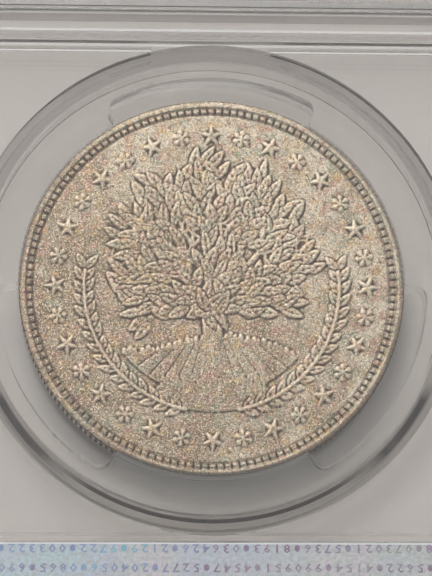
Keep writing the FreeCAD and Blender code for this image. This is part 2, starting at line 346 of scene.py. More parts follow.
def clear_plastic(settings):
    """Moulded clear plastic with painted shade where the rings meet and on the ridge's slope, and painted
    dark lines at the ring and the end rib.
    """
    material, tree = new_material("clear_shell_plastic")
    where = place_of(tree)
    across, along, up = parts_of(tree, where)
    radius = radius_of(tree, where)
    inside = settings.ring_inside

    flow = noise(tree, stretched(tree, where, 1.0, 0.25, 1.0), 900, 2)
    colour = mix(tree, spread(tree, flow), settings.plastic_tint, dimmed(settings.plastic_tint, 0.985))
    meeting = band(tree, up, *RINGS_MEET, MM)
    ring = band(tree, radius, inside, settings.ring_outside, MM)
    # Painted shade on the ring band where the two coin rings meet.
    colour = mix(tree, product(tree, ring, meeting), colour, settings.ring_tint)
    # Painted shade on the ridge's outer slope.
    slope = product(tree, band(tree, lean_of(tree), *SLOPE_LEAN), band(tree, up, *SLOPE_HEIGHT, MM))
    colour = mix(tree, slope, colour, settings.slope_tint)

    # Painted dark line along the end rib's inner face.
    face = band(tree, along, settings.rib_face - RIB_LINE_HALF, settings.rib_face + RIB_LINE_HALF, MM)
    start, end = RIB_LINE_MIDDLE
    weaker = spread(tree, calc(tree, "ABSOLUTE", across), start * MM, end * MM, 0.8, 1.0)
    rib_line = product(tree, face, band(tree, up, *RIB_LINE_HEIGHT, MM), weaker)

    def beyond_wall(start, end):
        return spread(tree, radius, (inside + start) * MM, (inside + end) * MM)

    # Painted dark arcs beside the ring's inner wall, towards the label, where the rings meet.
    thread = product(tree, band(tree, radius, inside + THREAD[0], inside + THREAD[1], MM),
                     toward_label(tree, along, *NEAR_LABEL))
    streaks = noise(tree, stretched(tree, where, 1.0, 0.5, 1.0), 700, 3)
    flank = product(tree, beyond_wall(*FLANK_START), beyond_wall(*FLANK_END),
                    toward_label(tree, along, *FLANK_FAR), toward_label(tree, along, *FLANK_NEAR),
                    spread(tree, streaks, 0.30, 0.50, 0.93, 0.99))
    arcs = product(tree, calc(tree, "MAXIMUM", thread, flank), meeting)
    colour = mix(tree, calc(tree, "MAXIMUM", rib_line, arcs), colour, settings.glint_tint)

    scuffs = noise(tree, stretched(tree, where, 1.0, 0.08, 1.0), 2600, 4, 0.7)
    roughness = spread(tree, scuffs, 0.62, 0.8, settings.plastic_roughness, 0.12)
    close_clear(tree, colour, roughness, 1.0, (0.93, 0.925, 0.92), IOR=settings.plastic_ior,
                Normal=bump(tree, noise(tree, where, 110, 2), 0.03, 0.2 * MM))
    return material


def weld_plastic(settings):
    """Remelted seam, cloudy with fine bubbles."""
    material, tree = new_material("remelted_seam")
    bubbles = noise(tree, place_of(tree), 4200, 3, 0.6)
    cloudy = dimmed(settings.weld_colour, 0.8)
    colour = mix(tree, spread(tree, bubbles, 0.35, 0.7), settings.weld_colour, cloudy)
    roughness = spread(tree, bubbles, 0.3, 0.75, 0.25, 0.55)
    close_clear(tree, colour, roughness, 0.8, (0.9, 0.89, 0.88), IOR=1.5)
    return material


class OBJECT_OT_holder_shells(bpy.types.Operator):
    """Finish the two clear shells and the seam that holds them together"""

    bl_idname = "object.holder_shells"
    bl_label = "Clear shells and seam"

    def execute(self, context):
        settings = context.scene.holder
        plastic = clear_plastic(settings)
        finish_node("front_shell", plastic)
        finish_node("back_shell", plastic)
        finish_node("weld_seam", weld_plastic(settings))
        return {"FINISHED"}


def soft_clear(settings):
    """Soft clear gasket with a faintly frosted, slightly uneven skin, and painted shade on its upright walls
    and towards the label.
    """
    material, tree = new_material("soft_clear_gasket")
    where = place_of(tree)
    cloud = noise(tree, where, 420, 3)
    colour = mix(tree, spread(tree, cloud), settings.gasket_tint, dimmed(settings.gasket_tint, 0.97))
    upright = spread(tree, calc(tree, "ABSOLUTE", lean_of(tree)), 0.5, 0.2)
    start, end = GASKET_EDGE
    edge = product(tree, spread(tree, radius_of(tree, where), start * MM, end * MM),
                   toward_label(tree, parts_of(tree, where)[1], *NEAR_LABEL))
    # Painted shade on upright walls and on the outer edge towards the label.
    colour = mix(tree, calc(tree, "MAXIMUM", upright, edge), colour, settings.wall_tint)
    skin = noise(tree, where, 3500, 3, 0.6)
    matt = spread(tree, skin, 0.3, 0.7, settings.gasket_roughness, settings.gasket_roughness + 0.08)
    close_clear(tree, colour, matt, 1.0, (0.97, 0.965, 0.955), IOR=settings.gasket_ior,
                Normal=bump(tree, noise(tree, where, 800, 2), 0.08, 0.1 * MM))
    return material


class OBJECT_OT_holder_gasket(bpy.types.Operator):
    """Finish the soft gasket round the coin"""

    bl_idname = "object.holder_gasket"
    bl_label = "Coin gasket"

    def execute(self, context):
        finish_node("coin_gasket", soft_clear(context.scene.gasket))
        return {"FINISHED"}


# ---------------- the coin

TOOTH_STEPS, REED_STEPS = 8, 6  # points round the coin for each tooth and each reed
# Lengths on the struck faces, in millimetres.
CAVITY_WIDTH = 0.16  # blur that a place is compared with, to find out whether it lies in a hollow
STRIKE_SOFTNESS = 0.042  # blur that softens the whole relief
DRAWN_HEIGHT = 0.19  # highest relief as drawn, before it is brought to the height in the settings
LAND_RADIUS, CROWN_HEIGHT, WREATH_RADIUS, SUN_RADIUS = 11.0, 3.0, 12.6, 4.6
LEAF_SPACING, BARK_PITCH = 1.22, 0.42
FURROWS, BUSHES, LEAF_PAIRS, OPENINGS, BLADES, RAYS = 21, 36, 16, 15, 150, 32
WORN_FROM, WORN_SLOPE = 0.72, 0.35  # share of the height where wear starts, and how much of the rest is left


def softened(field, pitch, width):
    """A height map blurred by a bell curve of the given width, in millimetres."""
    rows = np.fft.fftfreq(field.shape[0], pitch)[:, None]
    columns = np.fft.rfftfreq(field.shape[1], pitch)[None, :]
    keep = np.exp(-2 * (pi * width) ** 2 * (rows ** 2 + columns ** 2))
    return np.fft.irfft2(np.fft.rfft2(field) * keep, s=field.shape)


def smoothstep(value, low, high):
    """0 below low, 1 above high, smooth between."""
    t = np.clip((value - low) / (high - low), 0, 1)
    return t * t * (3 - 2 * t)


class Relief:
    """Height map of one struck face, in millimetres above the field."""

    pitch = 0.06

    def __init__(self, seed):
        count = int(2 * COIN_RADIUS / self.pitch) + 3
        self.axis = (np.arange(count) - (count - 1) / 2) * self.pitch
        self.x, self.y = np.meshgrid(self.axis, self.axis)
        self.height = np.zeros((count, count))
        self.chance = random.Random(seed)
        self.noise = np.random.default_rng(seed)

    def grain(self, width):
        """Smooth random field of unit spread."""
        field = softened(self.noise.standard_normal(self.height.shape), self.pitch, width)
        return field / field.std()

    def window(self, x, y, reach):
        """The part of the map round a point, with coordinates from that point."""
        low = self.axis[0]
        part = tuple(slice(max(int((middle - reach - low) / self.pitch), 0),
                           max(int((middle + reach - low) / self.pitch) + 2, 0)) for middle in (y, x))
        return part, self.x[part] - x, self.y[part] - y

    def raise_part(self, part, height, inside):
        """Lift the map to a height inside a shape, never lowering what is there."""
        self.height[part] = np.where(inside, np.maximum(self.height[part], height), self.height[part])

    def stroke(self, start, end, wide, narrow, top, foot=0.0):
        """A rounded, tapering ridge from start to end."""
        (x0, y0), (x1, y1) = start, end
        reach = hypot(x1 - x0, y1 - y0) / 2 + wide + 0.2
        part, x, y = self.window((x0 + x1) / 2, (y0 + y1) / 2, reach)
        dx, dy = (x1 - x0), (y1 - y0)
        length = max(dx * dx + dy * dy, 1e-9)
        t = np.clip((x * dx + y * dy) / length + 0.5, 0, 1)
        gap = np.hypot(x - (t - 0.5) * dx, y - (t - 0.5) * dy)
        half = wide + (narrow - wide) * t
        inside = gap < half
        dome = np.clip(1 - (gap / half) ** 2, 0, 1) ** 0.35
        self.raise_part(part, foot + (top - foot) * dome, inside)

    def leaf(self, x, y, angle, length, width, foot, tip):
        """A pointed leaf that rises to its tip, with a sunk midrib and veins and a groove round it."""
        part, px, py = self.window(x, y, length)
        c, s = cos(angle), sin(angle)
        along = (px * c + py * s) / length
        side = -px * s + py * c
        body = np.clip(along, 0, 1)
        half = width * np.sin(pi * body ** 0.85) ** 0.75 + 1e-6
        inside = (along > 0) & (along < 1) & (np.abs(side) < half)
        beside = (along > -0.03) & (along < 1.05) & (np.abs(side) < half + 0.14)
        self.height[part] = np.where(beside, np.minimum(self.height[part], foot - 0.02), self.height[part])
        dome = 1 - (side / half) ** 2
        vein = smoothstep(np.cos((along * length - np.abs(side) * 0.8) * 2 * pi / 0.62), 0.45, 0.95)
        height = foot + (tip - foot) * body + 0.02 * dome - 0.05 * np.exp(-(side / 0.08) ** 2) - 0.035 * vein
        self.height[part] = np.where(inside, height, self.height[part])

    def star(self, x, y, radius, turn, top):
        """A five-pointed star with ridged points."""
        part, px, py = self.window(x, y, radius + 0.1)
        angle = np.arctan2(py, px) - turn
        wedge = np.abs((angle + pi / 5) % (2 * pi / 5) - pi / 5)
        reach = np.hypot(px, py)
        inner = radius * 0.42
        corner = np.array([inner * cos(pi / 5), inner * sin(pi / 5)])
        edge = np.array([radius, 0.0]) - corner
        across = reach * np.cos(wedge), reach * np.sin(wedge)
        depth = ((across[0] - corner[0]) * edge[1] - (across[1] - corner[1]) * edge[0]) / np.hypot(*edge)
        inside = depth > 0
        self.raise_part(part, np.minimum(top, 0.05 + 0.42 * depth), inside)

    def rosette(self, x, y, radius, turn, top):
        """A small flower of six petals round a button."""
        part, px, py = self.window(x, y, radius + 0.1)
        angle = np.arctan2(py, px) - turn
        reach = np.hypot(px, py)
        outline = radius * (0.72 + 0.28 * np.abs(np.cos(3 * angle)))
        inside = reach < outline
        petal = np.abs(np.cos(3 * angle)) * np.sqrt(np.clip(1 - (reach / outline) ** 2, 0, 1))
        self.raise_part(part, 0.03 + (top - 0.03) * petal, inside)
        button = reach < radius * 0.3
        self.raise_part(part, top * np.sqrt(np.clip(1.1 - (reach / (radius * 0.3)) ** 2, 0, 1)), button)


def strike_border(face, settings):
    """Stars and rosettes by turns round the face."""
    step = pi / settings.border_count
    for number in range(2 * settings.border_count):
        turn = pi / 2 + number * step
        x, y = cos(turn) * settings.border_radius, sin(turn) * settings.border_radius
        if number % 2 == 0:
            face.star(x, y, radius=1.18, turn=turn, top=0.15)
        else:
            face.rosette(x, y, radius=0.9, turn=turn, top=0.14)


def land_edge(x):
    """How far up the face the land reaches."""
    return -5.6 + 0.5 * np.sin(x * 0.42 + 0.8) - 0.012 * x ** 2


def strike_land(face):
    """Furrowed land with bushes along its far edge, and a mound in front."""
    chance = face.chance
    land = (face.y < land_edge(face.x)) & (np.hypot(face.x, face.y) < LAND_RADIUS)
    furrow = np.abs(np.sin(np.arctan2(face.x, -(face.y + 2.2)) * FURROWS))
    face.height = np.where(land, 0.04 + 0.055 * smoothstep(furrow, 0.04, 0.34), face.height)
    for number in range(BUSHES):
        x = -9.7 + number * 0.55 + chance.uniform(-0.15, 0.15)
        y = land_edge(x) + chance.uniform(-0.05, 0.1)
        if hypot(x, y) < LAND_RADIUS - 0.1:
            wide = chance.uniform(0.28, 0.46)
            face.stroke((x, y), (x, y + wide * 0.7), wide, wide * 0.7, 0.11)
    mound = (face.x / 5.6) ** 2 + ((face.y + 10.6) / 1.9) ** 2
    face.height = np.where(mound < 1, 0.06 + 0.055 * np.clip(1 - mound, 0, 1) ** 0.4, face.height)


def strike_wreath(face):
    """Two stems with pairs of leaves, from below the mound up both sides of the tree."""
    for side in (-1, 1):
        last = (side * 2.6, -12.3)
        for number in range(LEAF_PAIRS):
            turn = radians(-76 + number * 5.6)
            here = (side * WREATH_RADIUS * cos(turn), WREATH_RADIUS * sin(turn))
            face.stroke(last, here, 0.17, 0.16, 0.13, 0.05)
            lie = turn + pi / 2 if side > 0 else pi / 2 - turn
            for lean in (-0.62, 0.62):
                face.leaf(*here, lie + lean, face.chance.uniform(1.55, 1.85), 0.38, 0.05, 0.12)
            last = here


def strike_trunk(face):
    """A trunk that spreads into roots."""
    trunk = [(-0.05, -10.4), (0.0, -8.6), (-0.12, -6.8), (0.08, -5.0), (0.0, -3.4), (0.05, -1.6)]
    widths = [1.5, 1.12, 0.98, 0.95, 1.0, 1.12]
    for start, end, wide, narrow in zip(trunk, trunk[1:], widths, widths[1:]):
        face.stroke(start, end, wide, narrow, 0.17, 0.05)
    for x, y, wide in ((-3.6, -11.0, 0.5), (-2.2, -11.5, 0.45), (2.4, -11.4, 0.45), (3.9, -10.9, 0.5),
                       (0.4, -11.7, 0.4)):
        face.stroke((x * 0.22, -9.9), (x * 0.6, -10.5), wide * 1.3, wide, 0.15, 0.05)
        face.stroke((x * 0.6, -10.5), (x, y), wide, 0.12, 0.14, 0.03)


def strike_limbs(face):
    """Five limbs that fork up to four times within the crown."""
    chance = face.chance
    limbs = []

    def branch(x, y, angle, length, width, level):
        bend = angle + chance.uniform(-0.12, 0.12)
        middle = (x + cos(angle) * length * 0.5, y + sin(angle) * length * 0.5)
        end = (middle[0] + cos(bend) * length * 0.5, middle[1] + sin(bend) * length * 0.5)
        if hypot(end[0], end[1] - CROWN_HEIGHT) > 10.0:
            return
        limbs.append(((x, y), middle, width, width * 0.85, level))
        limbs.append((middle, end, width * 0.85, width * 0.7, level))
        if level < 4:
            for turn in ((-0.62, 0.05, 0.66) if level < 2 else (-0.5, 0.48)):
                branch(*end, bend + turn + chance.uniform(-0.13, 0.13), length * chance.uniform(0.68, 0.82),
                       width * 0.62, level + 1)

    for angle, length in ((2.80, 4.4), (2.2, 4.2), (1.62, 4.1), (1.0, 4.3), (0.38, 4.4)):
        branch(0.0, -2.6, angle, length, 0.62, 0)
    for start, end, wide, narrow, level in limbs:
        face.stroke(start, end, wide, narrow, 0.13 - 0.012 * level, 0.02)


def strike_leaves(face):
    """A canopy of leaves with a few openings, laid from the outside in."""
    chance = face.chance
    leaves = []
    for row in range(-11, 12):
        for column in range(-10, 11):
            x = column * LEAF_SPACING + (row % 2) * LEAF_SPACING / 2 + chance.uniform(-0.26, 0.26)
            y = CROWN_HEIGHT + row * LEAF_SPACING * 0.9 + chance.uniform(-0.26, 0.26)
            dy = y - CROWN_HEIGHT
            away = atan2(dy, x)
            edge = 9.9 + 0.6 * cos(11 * away + 0.4) + 0.25 * cos(5 * away)
            over_trunk = y < -3.6 + 0.16 * abs(x) and abs(x) < 6.5
            if not over_trunk and hypot(x, dy) <= edge:
                leaves.append((hypot(x, dy + 4.5), x, y))
    leaves.sort(reverse=True)
    openings = [(chance.uniform(-7, 7), chance.uniform(-2, 9.5)) for _ in range(OPENINGS)]
    for _, x, y in leaves:
        if any(hypot(x - ox, y - oy) < 0.62 for ox, oy in openings):
            continue
        angle = atan2(y + 2.4, x) + chance.uniform(-0.75, 0.75)
        length = chance.uniform(2.0, 2.9)
        lift = chance.uniform(0.0, 0.05)
        x0, y0 = x - cos(angle) * length / 2, y - sin(angle) * length / 2
        face.leaf(x0, y0, angle, length, chance.uniform(0.44, 0.58), 0.05 + lift, 0.11 + lift)


def strike_grass(face):
    """Blades of grass on the mound, left and right of the trunk."""
    chance = face.chance
    for _ in range(BLADES):
        x = chance.uniform(-5.4, 5.4)
        if abs(x) < 1.3:
            continue
        y = -11.9 + chance.uniform(0, 2.1) * (1 - (x / 8.0) ** 2) + 0.05 * x * x
        lean = chance.uniform(-0.35, 0.35)
        tall = chance.uniform(0.6, 1.25)
        face.stroke((x, y), (x + lean, y + tall), 0.13, 0.05, 0.12, 0.03)


def strike_tree(face):
    """A spreading leafy tree on a mound, in a wreath, with furrowed land to both sides."""
    for strike in (strike_land, strike_wreath, strike_trunk, strike_limbs, strike_leaves, strike_grass):
        strike(face)


def strike_sun(face):
    """A plain sun with straight and wavy rays."""
    reach = np.hypot(face.x, face.y)
    turn = np.arctan2(face.y, face.x)
    for number in range(RAYS):
        angle = number * 2 * pi / RAYS
        c, s = cos(angle), sin(angle)
        if number % 2 == 0:
            face.stroke((c * 4.4, s * 4.4), (c * 12.2, s * 12.2), 0.72, 0.06, 0.14)
            continue
        last = (c * 4.8, s * 4.8)
        for k in range(1, 9):
            out, sway = 4.8 + k * 0.72, 0.32 * sin(k * 1.35)
            here = (c * out - s * sway, s * out + c * sway)
            face.stroke(last, here, 0.34 - 0.03 * k, 0.31 - 0.03 * k, 0.11)
            last = here
    everywhere = (slice(None), slice(None))
    ball = reach < SUN_RADIUS
    face.raise_part(everywhere, 0.09 + 0.09 * np.sqrt(np.clip(1 - (reach / SUN_RADIUS) ** 2, 0, 1)), ball)
    face.raise_part(everywhere, 0.15, np.abs(reach - SUN_RADIUS) < 0.26)
    face.height -= np.where(ball, 0.012 * (0.5 + 0.5 * np.cos(8 * turn)) * (reach / SUN_RADIUS), 0)


def age_face(face, settings, marks):
    """Bark and striking softness, wear on the high places, small knocks and a little orange peel."""
    bark = np.sin(face.x * 2 * pi / BARK_PITCH + 0.9 * face.grain(0.7)) * 0.014
    raised = smoothstep(face.height, 0.04, 0.12)
    face.height = softened(face.height + bark * raised * 0.45, face.pitch, STRIKE_SOFTNESS)
    face.height *= settings.relief_height / DRAWN_HEIGHT
    top = settings.relief_height * WORN_FROM
    face.height = np.where(face.height > top, top + (face.height - top) * WORN_SLOPE, face.height)
    for _ in range(marks):
        angle, away = face.chance.uniform(0, 6.28), 17 * sqrt(face.chance.random())
        x, y = cos(angle) * away, sin(angle) * away
        lie, length = face.chance.uniform(0, 3.14), face.chance.uniform(0.2, 1.1)
        part, px, py = face.window(x, y, length)
        along = np.abs(px * cos(lie) + py * sin(lie))
        side = np.abs(-px * sin(lie) + py * cos(lie))
        ends = smoothstep(-along, -length / 2, -length / 4)
        face.height[part] -= 0.014 * np.exp(-(side / 0.07) ** 2) * ends
    face.height += 0.0030 * face.grain(0.09) + 0.004 * face.grain(0.6)


def sample(face, field, x, y):
    """Read a map at scattered points."""
    column = (x - face.axis[0]) / face.pitch
    row = (y - face.axis[0]) / face.pitch
    c, r = np.floor(column).astype(int), np.floor(row).astype(int)
    u, v = column - c, row - r
    c1, r1 = np.minimum(c + 1, len(face.axis) - 1), np.minimum(r + 1, len(face.axis) - 1)
    return ((field[r, c] * (1 - u) + field[r, c1] * u) * (1 - v)
            + (field[r1, c] * (1 - u) + field[r1, c1] * u) * v)


def disc_net(cells, radius):
    """An even square net drawn into a disc: its points, its quads and its rim in order."""
    side = np.linspace(-1, 1, cells + 1)
    a, b = np.meshgrid(side, side)
    steep = np.abs(a) < np.abs(b)
    safe_a, safe_b = np.where(a == 0, 1, a), np.where(b == 0, 1, b)
    turn = np.where(steep, pi / 2 - pi / 4 * a / safe_b, pi / 4 * b / safe_a)
    reach = np.where(steep, b, a) * radius
    points = np.stack([(reach * np.cos(turn)).ravel(), (reach * np.sin(turn)).ravel()], 1)
    index = np.arange((cells + 1) ** 2).reshape(cells + 1, cells + 1)
    quads = np.stack([index[:-1, :-1], index[:-1, 1:], index[1:, 1:], index[1:, :-1]], -1).reshape(-1, 4)
    rim = np.unique(np.concatenate([index[0], index[-1], index[:, 0], index[:, -1]]))
    order = np.argsort(np.arctan2(points[rim, 1], points[rim, 0]))
    return points, quads, rim[order]


def stitch(inner, inner_turn, outer, outer_turn):
    """Triangles between two rings with different numbers of points, both in turning order."""
    faces, i, j = [], 0, 0
    n, m = len(inner), len(outer)
    inner_ends = [*inner_turn[1:], inner_turn[0] + 2 * pi]
    outer_ends = [*outer_turn[1:], outer_turn[0] + 2 * pi]
    while i < n or j < m:
        if j == m or (i < n and inner_ends[i] <= outer_ends[j]):
            faces.append((inner[i], outer[j % m], inner[(i + 1) % n]))
            i += 1
        else:
            faces.append((inner[i % n], outer[j], outer[(j + 1) % m]))
            j += 1
    return faces


def coin_half(face, settings, cells):
    """One half of the coin, from its struck face to its middle plane, closed."""
    rim_inside = COIN_RADIUS - settings.rim_width
    tooth_start = rim_inside - settings.tooth_length
    half = COIN_THICKNESS / 2
    depth = settings.field_depth
    field_level = half - depth
    cavity = face.height - softened(face.height, face.pitch, CAVITY_WIDTH)

    net_reach = tooth_start - 0.22
    points, quads, rim = disc_net(cells, net_reach)
    heights = field_level + sample(face, face.height, points[:, 0], points[:, 1])
    verts = [np.column_stack([points, heights])]
    hollow = [sample(face, cavity, points[:, 0], points[:, 1])]
    faces = quads.tolist()
    last = rim.tolist()
    last_turn = np.arctan2(points[rim, 1], points[rim, 0])
    count = len(points)

    def grow(turn, radius, level, stain):
        """Add a ring of points, joined to the one before."""
        nonlocal count, last, last_turn
        flat = np.ones(len(turn))
        verts.append(np.column_stack([radius * np.cos(turn), radius * np.sin(turn), level * flat]))
        hollow.append(stain * flat)
        here = list(range(count, count + len(turn)))
        count += len(turn)
        if len(last) == len(turn):
            faces.extend(zip(last, here, here[1:] + here[:1], last[1:] + last[:1]))
        else:
            faces.extend(stitch(last, last_turn, here, turn))
        last, last_turn = here, turn

    around = settings.tooth_count * TOOTH_STEPS
    place_in_turn = np.arange(around) + 0.5
    turn = -pi + place_in_turn * 2 * pi / around
    phase = np.abs((place_in_turn / TOOTH_STEPS) % 1 - 0.5) * 2
    tooth = smoothstep(-phase, -0.92, -0.56)
    wobble = 0.004 * np.sin(turn * 37) + 0.003 * np.sin(turn * 91 + 1)
    # radius, height on a tooth, height in a gap, grime in a gap, and how clean a tooth is
    for radius, crest, gap, stain, clean in (
            (tooth_start - 0.13, 0.0, 0.0, -0.006, 0.2), (tooth_start - 0.06, -0.025, -0.025, -0.013, 0.1),
            (tooth_start + 0.05, -0.025, -0.035, -0.016, 0.1), (tooth_start + 0.14, 0.03, -0.03, -0.022, 0.4),
            (tooth_start + 0.23, 0.11, -0.02, -0.035, 0.85), (tooth_start + 0.36, 0.14, -0.01, -0.035, 1.0),
            (tooth_start + 0.48, 0.11, -0.02, -0.035, 0.85), (rim_inside - 0.08, 0.05, -0.02, -0.022, 0.5),
            (rim_inside + 0.01, 0.04, 0.0, -0.014, 0.4),
            (rim_inside + 0.09, depth - 0.035, 0.15, -0.006, 0.6),
            (rim_inside + 0.20, depth - 0.01, depth - 0.015, 0.0, 0.85),
            (rim_inside + 0.40, depth - 0.02, depth - 0.02, 0.0, 0.85),
            (COIN_RADIUS - 0.16, depth - 0.055, depth - 0.055, -0.003, 0.85)):
        level = gap + (crest - gap) * tooth
        level = np.minimum(field_level + level + np.where(level > 0.2, 0, wobble), half)
        grow(turn, radius, level, stain + (0.012 - stain) * tooth * clean)

    around = settings.reed_count * REED_STEPS
    place_in_turn = np.arange(around) + 0.25
    turn = -pi + place_in_turn * 2 * pi / around
    groove = 0.5 + 0.5 * np.cos(place_in_turn * 2 * pi / REED_STEPS)
    wall = COIN_RADIUS - settings.reed_depth * groove
    bevel = np.full(around, COIN_RADIUS - 0.07)
    for radius, level in ((bevel, half - 0.13), (wall - 0.005, half - 0.2), (wall, half - 0.28), (wall, 0.0)):
        grow(turn, radius, level, np.where(radius < COIN_RADIUS - 0.05, -0.06 * groove, 0.04))
    verts.append(np.zeros((1, 3)))
    hollow.append(np.zeros(1))
    faces.extend((a, count, b) for a, b in zip(last, last[1:] + last[:1]))

    mesh = bpy.data.meshes.new("coin_half")
    mesh.from_pydata((np.concatenate(verts) * MM).tolist(), [], faces)
    attribute = mesh.attributes.new("hollow", "FLOAT", "POINT")
    attribute.data.foreach_set("value", np.concatenate(hollow).astype(np.float32))
    mesh.shade_smooth()
    return mesh


# The rim's painted shade, darker towards its lower right: the way to it from the coin's middle, to the right
# and toward the label, how far along that way it starts and is full, and the same for the distance from the
# middle, in millimetres.
RIM_SHADE_WAY, RIM_SHADE_ALONG, RIM_SHADE_RADIUS = (0.42, 0.91), (6.5, 14), (18.40, 18.65)


def toned_silver(settings):
    """Circulated silver: warm toning, grime in the recesses, worn high places, pale patches and painted shade
    on the rim.
    """
    material, tree = new_material("toned_silver")
    where = place_of(tree)
    across, along, _ = parts_of(tree, where)
    radius = radius_of(tree, where)
    hollow = add(tree, "Attribute", attribute_name="hollow").outputs["Fac"]
    middle = COIN_MIDDLE.y
    lie = calc(tree, "ADD", spread(tree, across, -15 * MM, 17 * MM, -0.06, 0.12),
               spread(tree, radius, 2 * MM, 12 * MM, -0.10, 0.0))
    lie = calc(tree, "ADD", lie, spread(tree, along, middle + 3 * MM, middle + 16 * MM, -0.02, 0.10))
    broad = calc(tree, "ADD", noise(tree, where, 230, 4, 0.62, 0.8), lie)
    patches = noise(tree, where, 900, 4, 0.65, 0.5)
    grains = noise(tree, where, 4600, 3, 0.72, 1.3)
    specks = noise(tree, where, 7200, 2, 0.6)
    shade = calc(tree, "ADD", grains, calc(tree, "MULTIPLY", lie, 0.12))
    dirt = calc(tree, "ADD", hollow, spread(tree, patches, 0.3, 0.7, -0.004, 0.004))

    colour = mix(tree, spread(tree, broad, 0.40, 0.66), settings.silver_middle, settings.silver_pale)
    # what decides it, its range, the share of the tone at both ends of that range, and the tone
    for amount, low, high, first, last, tone in (
            (noise(tree, where, 1100, 3, 0.6, 0.6), 0.50, 0.64, 0.0, 0.95, settings.silver_rose),
            (noise(tree, where, 700, 3, 0.6, 0.3), 0.53, 0.68, 0.0, 0.95, settings.silver_green),
            (patches, 0.53, 0.70, 0.0, 0.95, settings.silver_gold),
            (shade, 0.38, 0.56, 0.9, 0.0, settings.silver_shade),
            (specks, 0.54, 0.66, 0.0, 0.9, settings.silver_light),
            (hollow, 0.004, 0.03, 0.0, 0.6, settings.silver_light),
            (dirt, -0.005, -0.019, 0.0, 1.0, settings.silver_dark)):
        colour = mix(tree, spread(tree, amount, low, high, first, last), colour, tone)
    # Painted shade on the rim towards the lower right.
    (start, end), (inside, outside) = RIM_SHADE_ALONG, RIM_SHADE_RADIUS
    way = calc(tree, "ADD", calc(tree, "MULTIPLY", across, RIM_SHADE_WAY[0]),
               calc(tree, "MULTIPLY", calc(tree, "SUBTRACT", middle, along), RIM_SHADE_WAY[1]))
    rim_shade = product(tree, spread(tree, way, start * MM, end * MM, 0.0, 0.6),
                       spread(tree, radius, inside * MM, outside * MM))
    colour = mix(tree, rim_shade, colour, settings.silver_dark)
    close_solid(tree, colour, spread(tree, grains, 0.3, 0.7, 0.50, 0.32), Metallic=0.85,
                Normal=bump(tree, grains, 0.6, 0.05 * MM))
    return material


class OBJECT_OT_holder_coin(bpy.types.Operator):
    """Strike the coin: a tree on one face, a sun on the other, a border, teeth, rim and reeded edge"""

    bl_idname = "object.holder_coin"
    bl_label = "Struck coin"

    def execute(self, context):
        settings = context.scene.coin
        silver = toned_silver(settings)
        for name, strike, seed, marks, cells, turn in (("coin_tree_face", strike_tree, 11, 110, 270, 0.0),
                                                       ("coin_sun_face", strike_sun, 23, 90, 190, pi)):
            face = Relief(seed)
            strike_border(face, settings)
            strike(face)
            age_face(face, settings, marks)
            mesh = coin_half(face, settings, cells)
            mesh.transform(Matrix.Translation(COIN_MIDDLE) @ Matrix.Rotation(turn, 4, "X"))
            piece = bpy.data.objects.new(name, mesh)
            context.collection.objects.link(piece)
            settle(piece, name, silver, "coin", ["coin"])
        return {"FINISHED"}


# ---------------- label card, film, prints and foil

PRINT_MARGIN, INK_GAP = 0.3, 0.002  # bare strip at the label's sides, and gap under a print, in millimetres
GROUP_LENGTHS = (5, 7, 5)  # a stop and the figures after it, by turns
ROW_SHIFT = 3.1  # how far each row starts beyond the last one, in figures
STOP_SHARE, CAP_SHARE = 0.85, 0.73  # a stop's height over a figure's, and a figure's over its font's
FIGURES_SEED, BARS_SEED = 5, 9


def lift_mesh():
    """The mesh of the piece just made, which is then removed."""
    piece = bpy.context.object
    mesh = piece.data.copy()
    bpy.data.objects.remove(piece)
    return mesh


def figure_mesh(text, height, thickness, resolution, weight=0.0, widen=1.0):
    """Solid figures on their baseline, as a mesh in millimetres."""
    deselect()
    bpy.ops.object.text_add(location=(0, 0, 0))
    words = bpy.context.object.data
    words.body = text
    words.size = height / CAP_SHARE
    words.extrude = thickness / 2
    words.offset = weight
    words.resolution_u = resolution
    bpy.ops.object.convert(target="MESH")
    mesh = lift_mesh()
    mesh.transform(Matrix.Diagonal((widen, 1, 1, 1)))
    return mesh


def mark_mesh(height, thickness):
    """A small six-sided stop between two groups of figures."""
    deselect()
    bpy.ops.mesh.primitive_cylinder_add(vertices=6, radius=height * 0.5, depth=thickness,
                                        location=(0, height * 0.5, 0))
    bpy.ops.object.mode_set(mode="EDIT")
    bpy.ops.mesh.select_all(action="SELECT")
    bpy.ops.transform.resize(value=(0.82, 1.0, 1.0))
    bpy.ops.object.mode_set(mode="OBJECT")
    bpy.ops.object.transform_apply(location=True, rotation=True, scale=True)
    return lift_mesh()


def gather(name, parts):
    """One mesh from copies of small ones, each with its own place."""
    whole = bmesh.new()
    for mesh, place in parts:
        piece = mesh.copy()
        piece.transform(place)
        whole.from_mesh(piece)
        bpy.data.meshes.remove(piece)
    bmesh.ops.remove_doubles(whole, verts=whole.verts, dist=1e-7)
    mesh = bpy.data.meshes.new(name)
    whole.to_mesh(mesh)
    whole.free()
    made = bpy.data.objects.new(name, mesh)
    bpy.context.collection.objects.link(made)
    return made


def film_surface(settings):
    """Pale film with soft bands of spectral colour and a fine brushed grain."""
    material, tree = new_material("security_film")
    where = place_of(tree)
    sweep = noise(tree, stretched(tree, where, 1.0, 0.7, 1.0), 66, 2, 0.5, 0.8)
    spectrum = ramp(tree, sweep, (0.30, (0.38, 0.57, 0.64)), (0.42, (0.45, 0.48, 0.62)),
                    (0.52, (0.52, 0.53, 0.51)), (0.60, (0.58, 0.49, 0.57)), (0.70, (0.49, 0.58, 0.43)))
    grain = noise(tree, stretched(tree, where, 0.15, 1.0, 1.0), 5200, 3, 0.6)
    colour = mix(tree, spread(tree, grain, 0.3, 0.7, 0.0, 0.5), spectrum, settings.film_colour)
    weave = noise(tree, where, 2600, 2, 0.5)
    colour = mix(tree, spread(tree, weave, 0.35, 0.65), dimmed(settings.film_colour, 0.86), colour)
    close_solid(tree, colour, spread(tree, grain, 0.3, 0.7, 0.38, 0.55), Metallic=0.25, IOR=1.48)
    return material


